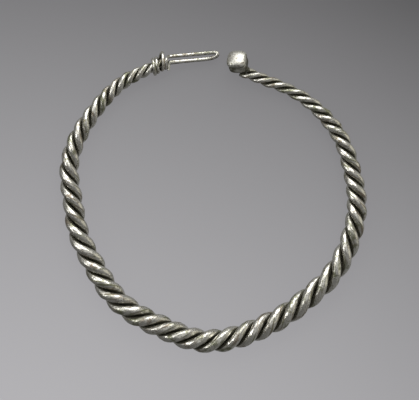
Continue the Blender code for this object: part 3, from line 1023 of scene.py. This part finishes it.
@dataclass
class ClaspWire:
    """The wire clasp: a binding with an eyelet, a hairpin and a tail.

    Attributes:
        rope: The rope that it binds.
        hammering: Its unevenness.
        diameter: The wire's diameter.
        turns: How many turns bind the rope.
        tight_turns: How many of them are tight.
        turn_gap: The gap between tight turns.
        turn_lean: How far a turn leans along the rope.
        loose_turn_lean: How much more a loose turn leans.
        eyelet_turn: The turn where the eyelet stands out.
        eyelet_turns: Over how much of a turn it does.
        eyelet_rise: How far it stands out.
        eyelet_swing: How far it swings back below.
        swing_delay: How much later that is, in turns.
        eyelet_standoff: How far the loose turns stand off from the tight ones.
        crossing_pull: How stiffly the wire crosses to the hairpin.
        leg_gap: The gap between the hairpin's legs.
        bend_length: The length of its bend.
        bend_squareness: How square the bend is; 2 is an ellipse.
        bend_aside: How far the bend's tip lies towards the outer leg, as a share of half the width.
        drop: How far it sinks towards its tip.
        hook: How far its tip turns up.
        hammered_width: The inner leg's width where it is hammered flat.
        hammered_length: The length of that.
        leg_flatness: How flat both legs are hammered all along, as a share of that width.
        turn_flatness: How flat the binding's turns are pressed, as a share of that width.
        flat_run: The length over which the flatness changes.
        tail_length: The length of the wire's tail.
        tail_pull: How stiffly the wire turns into its tail.
        fullness: Its mean radius, as a share of the frame's.
        bound_reach: How far from the rope's middle the wire gets tarnish and painted shade on its inner side.
        bound_fade: The length over which that ends.
        bound_spread: How far round from its inner side that spreads, from 0 for half way.
        flank_level: How far up a side faces where its own painted shade starts, from 1 for straight up.
        flank_run: Over how much of that it gets full.
        flank_painted_shade: How much painted shade a round side has, and how much more a flat one.
        sides: Points round it.
        step: The distance between its rings.
    """

    rope: Rope
    hammering: Hammering
    diameter: float = 0.00140
    turns: float = 3.5
    tight_turns: float = 2.0
    turn_gap: float = 0.00018
    turn_lean: float = 0.00060
    loose_turn_lean: float = 0.00073
    eyelet_turn: float = 2.80
    eyelet_turns: float = 0.54
    eyelet_rise: float = 0.0011
    eyelet_swing: float = 0.0025
    swing_delay: float = 0.18
    eyelet_standoff: float = 0.00156
    crossing_pull: float = 0.0028
    leg_gap: float = 0.00135
    bend_length: float = 0.0060
    bend_squareness: float = 2.5
    bend_aside: float = 0.28
    drop: float = 0.0010
    hook: float = 0.0012
    hammered_width: float = 0.00205
    hammered_length: float = 0.0110
    leg_flatness: float = 0.55
    turn_flatness: float = 0.28
    flat_run: float = 0.002
    tail_length: float = 0.0036
    tail_pull: float = 0.004
    fullness: float = 0.97
    bound_reach: float = 0.0035
    bound_fade: float = 0.003
    bound_spread: float = 0.10
    flank_level: float = 0.90
    flank_run: float = 0.6
    flank_painted_shade: tuple[float, float] = (0.25, 0.9)
    sides: int = 28
    step: float = 0.00012

    def swell_of_eyelet(self, turn: np.ndarray, middle: float) -> np.ndarray:
        """A share that rises smoothly to 1 at a middle turn and falls off over the eyelet's turns."""
        from_middle = np.minimum(2.0 * np.abs(turn - middle) / self.eyelet_turns, 1.0)
        return np.cos(from_middle * math.pi / 2) ** 2

    def binding(self, turn: np.ndarray) -> np.ndarray:
        """The wire's centre after some turns, starting below the rope.

        Args:
            turn: Numbers of turns.

        Returns:
            One point for each.
        """
        rope = self.rope
        pitch = self.diameter + self.turn_gap
        spread = self.eyelet_standoff * ease(2.0 * (turn - self.tight_turns))
        lean = self.turn_lean + self.loose_turn_lean * np.maximum(turn - self.tight_turns, 0.0)
        swing = self.eyelet_swing * self.swell_of_eyelet(turn, self.eyelet_turn + self.swing_delay)
        along = rope.binding_start + pitch * turn + spread - swing - lean * np.sin(FULL_TURN * turn)
        angle = 1.5 * math.pi - FULL_TURN * turn
        raised = self.eyelet_rise * self.swell_of_eyelet(turn, self.eyelet_turn)
        return rope.beside(
            along, angle, rope.read(rope.rope_radii, along) + rope.fit_gap + self.diameter / 2 + raised)

    def hairpin_frame(self) -> tuple[np.ndarray, np.ndarray, np.ndarray]:
        """Where the hairpin starts and which way it lies.

        Returns:
            Its root, its level direction and the level direction across it.
        """
        line = self.rope.line
        root_direction = self.rope.loop_direction + line.root_turn
        root = self.rope.centre(self.rope.length)[0] + heading(root_direction, line.root_run)
        run = line.hairpin_tip() + self.rope.place - root
        run[2] = 0.0
        forward = unit(run)
        return root, forward, np.cross(UP, forward)

    def bend_start(self) -> float:
        """How far from its root the hairpin's bend starts."""
        return self.rope.line.hairpin_length - self.diameter / 2 - self.bend_length

    def hairpin(self, reach: np.ndarray, side: np.ndarray) -> np.ndarray:
        """Points of the hairpin's line.

        Args:
            reach: Distances from its root.
            side: +1 for the outer leg, -1 for the inner one.

        Returns:
            One point for each.
        """
        root, forward, across = self.hairpin_frame()
        into_bend = np.clip((reach - self.bend_start()) / self.bend_length, 0.0, 1.0)
        widest = (self.leg_gap + self.diameter) / 2
        half = widest * (1.0 - into_bend ** self.bend_squareness) ** (1.0 / self.bend_squareness)
        aside = self.bend_aside * widest * into_bend ** 2
        height = self.hook * into_bend ** 2 - self.drop * ease(reach / self.bend_start())
        return (
            root + reach[:, None] * forward + (side * half + aside)[:, None] * across + height[:, None] * UP)

    def line(self) -> tuple[np.ndarray, np.ndarray]:
        """The wire's whole line at even steps.

        Returns:
            Its points, and how far each is hammered flat, from 0 to 1.
        """
        binding = self.binding(np.linspace(0.0, self.turns, 400))
        root, forward, across = self.hairpin_frame()
        reaches = np.linspace(0.0, self.bend_start(), 60)[:-1]
        outer = self.hairpin(reaches, np.ones(len(reaches)))
        inner = self.hairpin(reaches[::-1], -np.ones(len(reaches)))
        turn = np.linspace(0.0, math.pi, 60)
        bend = self.hairpin(
            self.bend_start() + self.bend_length * np.sin(turn), np.where(turn <= math.pi / 2, 1.0, -1.0))
        pull = self.crossing_pull
        shares = np.linspace(0.0, 1.0, 26)[1:-1]
        leaving = unit(binding[-1] - binding[-2]) * pull
        crossing = curve(binding[-1], leaving, outer[0], forward * pull, shares)
        tail_end = inner[-1] - self.tail_length * across - self.tail_length / 3 * forward
        tail = curve(inner[-1], -forward * self.tail_pull, tail_end, -across * self.tail_pull, shares)
        points = np.concatenate([binding, crossing, outer, bend, inner, tail, tail_end[None]])
        flat_share = np.full(len(points), self.turn_flatness)
        legs_start = len(binding) + len(crossing)
        inner_start = legs_start + len(outer) + len(bend)
        tail_start = inner_start + len(inner)
        on_leg = np.linalg.norm(inner - root, axis=1)
        flat_share[inner_start:tail_start] = 1.0 - ease(on_leg / self.hammered_length)
        fade = 1.0 - ease(np.linspace(0.0, 1.0, len(tail)))
        flat_share[tail_start:tail_start + len(tail)] = flat_share[tail_start - 1] * fade
        legs = slice(legs_start, tail_start)
        flat_share[legs] = np.maximum(flat_share[legs], self.leg_flatness)
        lengths = lengths_along(points)
        even = np.linspace(0.0, lengths[-1], round(lengths[-1] / self.step))
        smooth = smoothed(table_read(even, lengths, points), 6)
        window = np.hanning(round(self.flat_run / self.step))
        even_share = np.interp(even, lengths, flat_share)
        return smooth, np.convolve(even_share, window / window.sum(), mode="same")

    def level_sides(self, centres: np.ndarray, flat_share: np.ndarray) -> np.ndarray:
        """A direction across the wire at each point, carried along it and eased level where it is flat.

        Args:
            centres: The wire's line.
            flat_share: How flat it is at each point.

        Returns:
            One direction for each point.
        """
        easing = 0.1
        tangents = unit(np.gradient(centres, axis=0))
        sides = np.empty_like(centres)
        side = unit(np.cross(UP, tangents[0]))
        for index, tangent in enumerate(tangents):
            side = side - (side @ tangent) * tangent
            level = unit(np.cross(UP, tangent))
            level = level if level @ side > 0.0 else -level
            side = unit(side * (1.0 - easing * flat_share[index]) + level * easing * flat_share[index])
            sides[index] = side
        return sides

    def skin(self) -> Skin:
        """Sweep the wire along its line.

        Returns:
            Its rings, with tarnish and painted shade where it faces the rope, and painted shade on its flanks.
        """
        centres, flat_share = self.line()
        round_it = np.linspace(0.0, FULL_TURN, self.sides, endpoint=False)
        along = np.arange(len(centres)) * self.step
        swell = self.hammering.swell(along[:, None], round_it[None, :])
        wide = 1.0 + (self.hammered_width / self.diameter - 1.0) * flat_share
        radii = self.diameter / 2 * self.fullness * wide
        rings = sweep(centres, self.level_sides(centres, flat_share), radii, 1.0 / wide, round_it, swell)
        facing_up = unit(rings - centres[:, None, :])[..., 2]
        # Painted shade on the wire's turned-down flanks, more where it is hammered flat.
        round_flank_shade, flat_flank_shade = self.flank_painted_shade
        flank = ease((self.flank_level - facing_up) / self.flank_run)
        flank = flank * (round_flank_shade + flat_flank_shade * flat_share)[:, None]
        tarnish_and_shade = np.maximum(self.tarnish_and_shade_map(rings, centres), flank)
        return Skin(rings, {"tarnish_and_shade": tarnish_and_shade, **lie(along, round_it, radii)})

    def tarnish_and_shade_map(self, rings: np.ndarray, centres: np.ndarray) -> np.ndarray:
        """Where the wire gets tarnish and painted shade: on the side that faces the rope.

        Args:
            rings: The wire's rings.
            centres: The wire's line.

        Returns:
            A share for each point.
        """
        rope = self.rope
        near = np.linspace(rope.binding_start - 0.002, rope.length, 40)
        axis = rope.centre(near)
        away = centres[:, None, :] - axis[None, :, :]
        nearest = np.linalg.norm(away, axis=-1).argmin(axis=1)
        inward = unit(axis[nearest] - centres)
        facing = (unit(rings - centres[:, None, :]) * inward[:, None, :]).sum(axis=-1)
        distance = np.linalg.norm(centres - axis[nearest], axis=1)
        close = 1.0 - ease((distance - self.bound_reach) / self.bound_fade)
        # Tarnish and painted shade on the side that faces the rope.
        return ease(facing + self.bound_spread) * close[:, None]

    def build(self, finish: bpy.types.Material) -> bpy.types.Object:
        """Make the wire, dress it and let it stand for its node.

        Args:
            finish: Its material.

        Returns:
            The new object.
        """
        piece = self.skin().to_object("clasp_wire_drawn")
        piece.data.materials.append(finish)
        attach(piece, "root")
        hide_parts("clasp_wire")
        return piece


@dataclass
class Knob:
    """The rounded block at the rope's end: domed cap, groove and base, on a neck.

    Attributes:
        rope: The rope that it ends.
        height: Its height along its own axis.
        lean_turn: The direction in which it leans, from the rope's own.
        tilt: How far it leans from upright.
        corner_turn: How far its corners are turned about its axis.
        squareness: How square its section is; 2 is round.
        top_squareness: How square it still is at the top of the cap.
        flat_depth: How far its lowest edge is worn flat.
        profile: Levels along the axis as shares of the height, with shares of the width, up to the cap.
        cap_start: The level where the domed cap starts.
        cap_end: The level of its top.
        cap_roundness: How square the cap's edge is; 2 is an ellipse.
        groove_level: The level of the groove below the cap.
        groove_spread: How far the groove's tarnish and painted shade spread, as a share of the height.
        base_painted_shade: How much painted shade the base has below the groove.
        base_lead: How far above the groove that starts, as a share of the height.
        base_run: Over how much of the height it gets full.
        rim_painted_shade: How much painted shade the sides keep where they turn down.
        rim_level: How far up a side faces where that starts, from 1 for straight up.
        rim_run: Over how much of that it gets full.
        lit_side_level: How far back a side faces where it turns to the key light and its painted shade lifts,
            from 1 for straight back.
        lit_side_run: Over how much of that the painted shade comes back.
        neck_width: The neck's width inside the knob.
        neck_tip_share: The neck's radius at the rods, as a share of the rope's.
        neck_root_share: How far below the middle the neck starts, as a share of the height.
        neck_pull_share: How stiffly it leaves the knob, as a share of its length.
        neck_gap_share: How near it comes to the rods, as a share of the gap between neighbours.
        neck_painted_shade: How much painted shade it has.
        fullness: Its mean radius, as a share of the frame's.
        frame_sides: Points round the frame's own knob, from which its height over the floor follows.
        sides: Points round it.
        neck_sides: Points round the neck.
    """

    rope: Rope
    height: float = 0.0084
    lean_turn: float = math.radians(-50.0)
    tilt: float = math.radians(35.0)
    corner_turn: float = math.radians(18.0)
    squareness: float = 3.4
    top_squareness: float = 2.1
    flat_depth: float = 0.0005
    profile: tuple[tuple[float, float], ...] = (
        (-0.50, 0.64), (-0.47, 0.86), (-0.36, 0.96), (-0.15, 0.96), (0.00, 0.92), (0.06, 0.82),
        (0.12, 0.95), (0.20, 1.00))
    cap_start: float = 0.19
    cap_end: float = 0.48
    cap_roundness: float = 2.5
    groove_level: float = 0.06
    groove_spread: float = 0.055
    base_painted_shade: float = 0.52
    base_lead: float = 0.06
    base_run: float = 0.1
    rim_painted_shade: float = 0.95
    rim_level: float = 0.75
    rim_run: float = 0.5
    lit_side_level: float = 0.6
    lit_side_run: float = 0.4
    neck_width: float = 0.0052
    neck_tip_share: float = 0.6
    neck_root_share: float = 0.1
    neck_pull_share: float = 0.7
    neck_gap_share: float = 0.2
    neck_painted_shade: float = 0.85
    fullness: float = 0.975
    frame_sides: int = 28
    sides: int = 160
    neck_sides: int = 48

    def axes(self) -> tuple[np.ndarray, np.ndarray, np.ndarray]:
        """The knob's own directions.

        Returns:
            Its axis and two directions square to it.
        """
        lean = heading(self.rope.knob_direction + self.lean_turn)
        axis = math.cos(self.tilt) * UP + math.sin(self.tilt) * lean
        first = unit(lean - (lean @ axis) * axis)
        return axis, first, np.cross(axis, first)

    def sections(self, sides: int, squareness: np.ndarray) -> np.ndarray:
        """Square sections with round corners, half as wide as 1, turned as the knob is.

        Args:
            sides: Points round each.
            squareness: How square each is.

        Returns:
            Points, as sections by sides by 3.
        """
        _, first, second = self.axes()
        angles = np.linspace(0.0, FULL_TURN, sides, endpoint=False)
        power = 2.0 / squareness[:, None]
        x = np.sign(np.cos(angles)) * np.abs(np.cos(angles)) ** power
        y = np.sign(np.sin(angles)) * np.abs(np.sin(angles)) ** power
        turn = math.pi / 4 + self.corner_turn
        return (
            (x * math.cos(turn) - y * math.sin(turn))[..., None] * first
            + (x * math.sin(turn) + y * math.cos(turn))[..., None] * second)

    def outline(self) -> tuple[np.ndarray, np.ndarray]:
        """The profile at fine steps, with rounded edges.

        Returns:
            Levels and widths, as shares.
        """
        profile = np.array(self.profile)
        lengths = lengths_along(profile * (1.0, 0.5))
        fine = smoothed(table_read(np.linspace(0.0, lengths[-1], 150), lengths, profile), 14)
        tip = np.linspace(1.0, 0.02, 24)[1:]
        foot = np.stack([np.full(len(tip), fine[0, 0]), fine[0, 1] * tip], axis=-1)[::-1]
        turn = np.linspace(0.0, math.pi / 2, 70)[1:-1]
        power = 2.0 / self.cap_roundness
        rise = (self.cap_end - self.cap_start) * np.sin(turn) ** power
        top = np.stack([self.cap_start + rise, np.cos(turn) ** power], axis=-1)
        whole = np.concatenate([foot, fine, top])
        return whole[:, 0], whole[:, 1]

    def block(self) -> Skin:
        """The block about its own centre.

        Returns:
            Its rings, with tarnish and painted shade in its groove, and painted shade on its base and round its
            rim.
        """
        levels, widths = self.outline()
        onto_top = ease((levels - self.cap_start) / (self.cap_end - self.cap_start))
        sections = self.sections(self.sides, self.squareness + (self.top_squareness - self.squareness) * onto_top)
        reach = self.rope.line.knob_width / 2 * self.fullness * widths
        lift = (levels * self.height * self.fullness)[:, None, None] * self.axes()[0]
        rings = reach[:, None, None] * sections + lift
        # Tarnish and painted shade in the groove under the cap.
        groove = np.exp(-((levels - self.groove_level) / self.groove_spread) ** 2)
        # Painted shade on the base below the groove.
        base = self.base_painted_shade * ease((self.groove_level + self.base_lead - levels) / self.base_run)
        across = np.roll(rings, -1, axis=1) - np.roll(rings, 1, axis=1)
        facing = unit(np.cross(across, np.gradient(rings, axis=0)))
        # Painted shade on the rim where the sides turn down, lifted where they face the key light at the back.
        turned_down = ease((self.rim_level - facing[..., 2]) / self.rim_run)
        not_facing_light = ease((self.lit_side_level - facing[..., 1]) / self.lit_side_run)
        rim = self.rim_painted_shade * turned_down * not_facing_light
        return Skin(rings, {"tarnish_and_shade": np.maximum(np.maximum(groove, base)[:, None], rim)})

    def centre(self) -> np.ndarray:
        """Where the knob stands: its worn lowest edge is on the floor.

        Returns:
            Its centre.
        """
        axis = self.axes()[0]
        rises = self.sections(self.frame_sides, np.array([self.squareness]))[0, :, 2]
        lowest = min(
            float((self.rope.line.knob_width / 2 * width * rises + level * self.height * axis[2]).min())
            for level, width in self.profile)
        return self.rope.line.knob_centre() + self.rope.place - UP * (lowest + self.flat_depth)

    def neck(self) -> Skin:
        """The neck, from inside the knob to the cut ends of the rods.

        Returns:
            Its rings, with painted shade all over.
        """
        rope = self.rope
        axis = self.axes()[0]
        start = self.centre() - axis * (self.height * self.neck_root_share)
        rope_radius = float(rope.rope_radii[0])
        tip_radius = self.neck_tip_share * rope_radius
        end = (
            rope.centre(0.0)[0] + heading(rope.knob_direction, self.neck_gap_share * rope.fit_gap)
            + rope.outward(0.0)[0] * (rope_radius - tip_radius))
        runs = float(np.linalg.norm(start - end))
        steps = 40
        share = np.linspace(0.0, 1.0, steps)
        leaving = -axis * runs * self.neck_pull_share
        centres = curve(start, leaving, end, -heading(rope.knob_direction, runs), share)
        radii = self.neck_width / 2 * (1.0 - share) + tip_radius * share
        angles = np.linspace(0.0, FULL_TURN, self.neck_sides, endpoint=False)
        firsts = np.cross(UP, unit(np.gradient(centres, axis=0)))
        even = np.zeros((steps, self.neck_sides))
        rings = sweep(centres, firsts, radii * self.fullness, np.ones(steps), angles, even)
        # Painted shade over the whole neck.
        return Skin(rings, {"tarnish_and_shade": np.full(even.shape, self.neck_painted_shade)})

    def build(self, finish: bpy.types.Material) -> list[bpy.types.Object]:
        """Make the knob and its neck, and let them stand for the knob's node.

        Args:
            finish: Their material.

        Returns:
            The new objects.
        """
        block = self.block()
        head = Skin(block.rings + self.centre(), block.marks).to_object("knob_head")
        neck = self.neck().to_object("knob_neck")
        for piece in (head, neck):
            piece.data.materials.append(finish)
            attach(piece, "root")
            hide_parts("knob")
        return [head, neck]


@dataclass(frozen=True)
class SoftBox:
    """A square area light that points at the torc's middle.

    Attributes:
        name: Its name.
        azimuth: Where it stands, anticlockwise from +X, in degrees.
        elevation: How high it stands, in degrees.
        distance: Its distance from the torc.
        size: Its side.
        power: Its power in watts.
        colour: Its colour.
    """

    name: str
    azimuth: float
    elevation: float
    distance: float
    size: float
    power: float
    colour: tuple[float, float, float] = (1.0, 1.0, 1.0)

    def build(self) -> None:
        """Add the light."""
        light = bpy.data.lights.new(self.name, "AREA")
        light.energy = self.power
        light.size = self.size
        light.color = self.colour
        holder = bpy.data.objects.new(self.name, light)
        bpy.context.scene.collection.objects.link(holder)
        flat = self.distance * math.cos(math.radians(self.elevation))
        azimuth = math.radians(self.azimuth)
        holder.location = (
            flat * math.cos(azimuth), flat * math.sin(azimuth),
            self.distance * math.sin(math.radians(self.elevation)))
        holder.rotation_euler = (-holder.location).to_track_quat("-Z", "Y").to_euler()


@dataclass(frozen=True)
class Card:
    """The pale matte card that the torc lies on, which glows softly.

    Attributes:
        middle: The picture's middle on it.
        half_frame: Half the picture's width.
        half_width: Half the card's own width.
        cells: How many cells it has along each side.
        shade: How much of the lights it gives back.
        tint: The colour of its glow.
        glow: The glow at the picture's middle, how it changes to the right and up, and how that bows.
        glow_reach: Where the glow levels off, in half widths of the picture.
        glow_fade: Over how much it does.
    """

    middle: tuple[float, float, float]
    half_frame: float
    half_width: float = 1.6
    cells: int = 32
    shade: float = 0.04
    tint: tuple[float, float, float] = (1.0, 0.985, 1.022)
    glow: tuple[float, float, float, float, float] = (0.294, -0.047, -0.1295, -0.017, -0.026)
    glow_reach: float = 1.1
    glow_fade: float = 0.3

    def build(self) -> bpy.types.Object:
        """Make the card and put it on the stage.

        Returns:
            The card.
        """
        steps = np.linspace(-self.half_width, self.half_width, self.cells + 1)
        points = [(column, row, 0.0) for row in steps for column in steps]
        wide = self.cells + 1
        faces = []
        for row in range(self.cells):
            for column in range(self.cells):
                corner = row * wide + column
                faces.append((corner, corner + 1, corner + wide + 1, corner + wide))
        mesh = bpy.data.meshes.new("floor")
        mesh.from_pydata(points, [], faces)
        floor = bpy.data.objects.new("floor", mesh)
        bpy.context.scene.collection.objects.link(floor)
        mesh.materials.append(self.finish())
        floor.visible_glossy = False
        return floor

    def glow_strength(self, bench: NodeBench) -> Socket:
        """How strongly each spot of the card glows: bowed slopes to the right and up.

        Args:
            bench: What adds the nodes.

        Returns:
            The strength.
        """
        base, to_right, to_up, right_bow, up_bow = self.glow
        sides = bench.level_sides(bench.add("ShaderNodeTexCoord").outputs["Object"])
        total = base
        for side, middle, slope, bow in zip(sides, self.middle, (to_right, to_up), (right_bow, up_bow)):
            value = bench.arithmetic("MULTIPLY_ADD", side, 1.0 / self.half_frame, -middle / self.half_frame)
            held = bench.arithmetic("SMOOTH_MAX", value, -self.glow_reach, self.glow_fade)
            held = bench.arithmetic("SMOOTH_MIN", held, self.glow_reach, self.glow_fade)
            bent = bench.arithmetic("MULTIPLY_ADD", held, bow, slope)
            total = bench.arithmetic("MULTIPLY_ADD", bent, held, total)
        return total

    def finish(self) -> bpy.types.Material:
        """Build the card's material.

        Returns:
            The material.
        """
        made = bpy.data.materials.new("pale_floor")
        made.use_nodes = True
        bench = NodeBench(made.node_tree)
        shader = made.node_tree.nodes["Principled BSDF"]
        shader.inputs["Base Color"].default_value = (self.shade, self.shade, self.shade, 1.0)
        shader.inputs["Roughness"].default_value = 0.9
        shader.inputs["Specular IOR Level"].default_value = 0.1
        strength = self.glow_strength(bench)
        colour = bench.add("ShaderNodeCombineColor")
        for channel, share in zip(("Red", "Green", "Blue"), self.tint):
            bench.join(bench.arithmetic("MULTIPLY", strength, share), colour.inputs[channel])
        bench.join(colour.outputs["Color"], shader.inputs["Emission Color"])
        shader.inputs["Emission Strength"].default_value = 1.0
        return made


@dataclass(frozen=True)
class Studio:
    """A plain pale floor, soft lights and a camera straight above.

    Attributes:
        boxes: The lights.
        sky: The soft light from all round, and how it changes to the right and to the back.
        middle: The point that the camera looks at.
        frame_width: The width of the picture at the torc's middle height.
        camera_height: The camera's height above that.
        sensor: The width of the camera's sensor, in millimetres.
    """

    boxes: tuple[SoftBox, ...]
    sky: tuple[float, float, float] = (0.215, 0.06, 0.08)
    middle: tuple[float, float, float] = (-0.00169, 0.00069, 0.005)
    frame_width: float = 0.19233
    camera_height: float = 1.6
    sensor: float = 36.0

    def soft_light(self) -> None:
        """Light the scene softly from all round, a little more from the right and from the back."""
        world = bpy.data.worlds.new("even_light")
        bpy.context.scene.world = world
        world.use_nodes = True
        bench = NodeBench(world.node_tree)
        background = world.node_tree.nodes["Background"]
        to_right, to_back = bench.level_sides(bench.add("ShaderNodeTexCoord").outputs["Generated"])
        base, more_right, more_back = self.sky
        strength = bench.arithmetic("MULTIPLY_ADD", to_right, more_right, base)
        strength = bench.arithmetic("MULTIPLY_ADD", to_back, more_back, strength)
        bench.join(strength, background.inputs["Strength"])
        background.inputs["Color"].default_value = (1.0, 1.0, 1.0, 1.0)

    def camera(self) -> bpy.types.Object:
        """Put the camera straight above the torc.

        Returns:
            The camera.
        """
        lens = bpy.data.cameras.new("camera")
        lens.sensor_width = self.sensor
        lens.lens = self.sensor * self.camera_height / self.frame_width
        lens.clip_end = 20.0
        holder = bpy.data.objects.new("camera", lens)
        bpy.context.scene.collection.objects.link(holder)
        holder.location = Vector(self.middle) + Vector((0.0, 0.0, self.camera_height))
        bpy.context.scene.camera = holder
        return holder

    def build(self) -> None:
        """Add the floor, the lights, the soft light and the camera."""
        Card(self.middle, self.frame_width / 2).build()
        for box in self.boxes:
            box.build()
        self.soft_light()
        bpy.context.scene.view_settings.view_transform = "Standard"
        self.camera()


def report(piece: bpy.types.Object) -> None:
    """Say what has been made."""
    LOG.info("%s: %d points", piece.name, len(piece.data.vertices))


def main() -> None:
    """Build the torc's pieces over the frame, and the studio round them."""
    logging.basicConfig(level=logging.INFO, format="%(name)s: %(message)s")
    rope = Rope(NeckLine(), LINE_PLACE)
    rod_finish = Silver("hammered_rod_silver").material()
    wire_finish = Silver("drawn_wire_silver", patch_size=0.0018, dent_size=0.0012, relief=0.00004).material()
    knob_finish = Silver(
        "polished_knob_silver", bright=(0.73, 0.717, 0.645), polish=0.40, patches=0.34, relief=0.00004).material()
    starts = (-rope.overhang, 0.0, 0.0)
    for index, (name, start) in enumerate(zip(("rod_a", "rod_b", "rod_c"), starts)):
        hammering = Hammering(Grain.ROD, depth=0.018, facets=7, facet_depth=0.030, seed=11 + index)
        report(Rod(name, index, start, rope, hammering).build(rod_finish))
    hammering = Hammering(Grain.WIRE, depth=0.016, facets=6, facet_depth=0.020, seed=21)
    report(ClaspWire(rope, hammering).build(wire_finish))
    for piece in Knob(rope).build(knob_finish):
        report(piece)
    Studio(
        boxes=(
            SoftBox("key_behind", 85.0, 34.0, 1.0, 0.85, 6.6),
            SoftBox("left_corner", 142.0, 44.0, 1.0, 0.45, 0.7),
            SoftBox("left_window", 173.0, 35.0, 1.0, 0.35, 1.2),
            SoftBox("warm_right", 5.0, 16.0, 1.0, 0.9, 0.9, (1.0, 0.95, 0.75)),
            SoftBox("overhead", 60.0, 80.0, 2.4, 1.6, 3.0),
        ),
    ).build()
    LOG.info("studio built")


if __name__ == "__main__":
    main()
